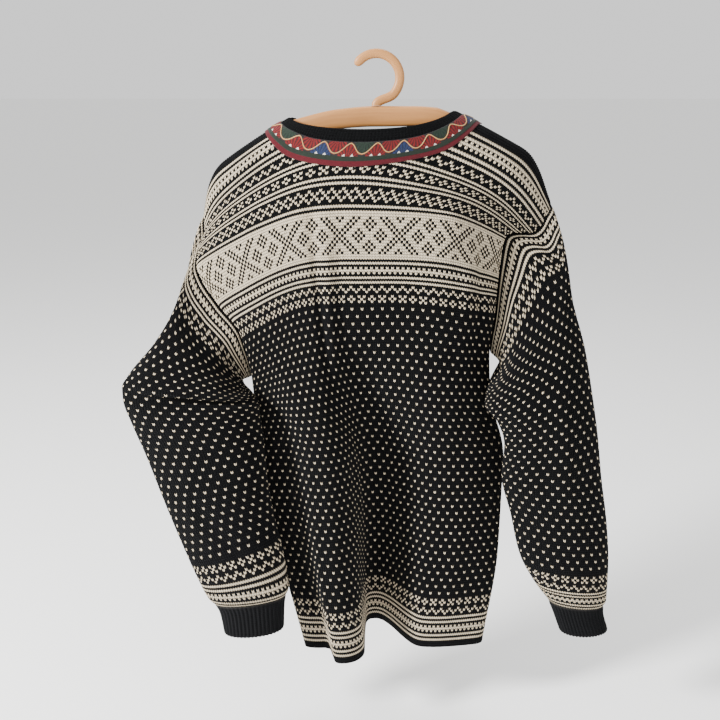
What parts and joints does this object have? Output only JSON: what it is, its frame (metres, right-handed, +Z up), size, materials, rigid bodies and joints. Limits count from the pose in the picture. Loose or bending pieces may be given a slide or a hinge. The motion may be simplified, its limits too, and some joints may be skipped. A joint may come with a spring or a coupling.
{
  "type": "nordic yoke sweater on a hanger",
  "caption": "Loose two-coloured nordic yoke pullover with ribbed cuffs, a trimmed round neck and drop-shoulder sleeves, hanging open and hollow on a wooden hanger.",
  "frame": {"origin": "underside of the top of the hanger's hook, where a rail carries it", "axes": "+Z up; the garment's back faces -Y and its front +Y; the hanger's bar runs along X"},
  "size_m": [0.6681, 0.1927, 0.8431],
  "materials": {
    "knit": "stranded wool knitting, near-black with cream",
    "rib_knit": "ribbed wool",
    "neck_rib_knit": "tight black ribbing",
    "woven_ribbon": "woven ribbon with a gold wave and coloured fans",
    "green_felt": "wool felt",
    "red_felt": "wool felt",
    "hanger_wood": "clear satin varnish"
  },
  "bodies": {
    "root": {"back": "knit", "front": "knit", "sleeve_left": "knit", "sleeve_right": "knit", "cuff_left": "rib_knit", "cuff_right": "rib_knit", "neck_rib": "neck_rib_knit", "neck_ribbon": "woven_ribbon", "felt_green": "green_felt", "felt_red": "red_felt", "hanger_bar": "hanger_wood", "hanger_hook": "hanger_wood"}
  },
  "joints": []
}
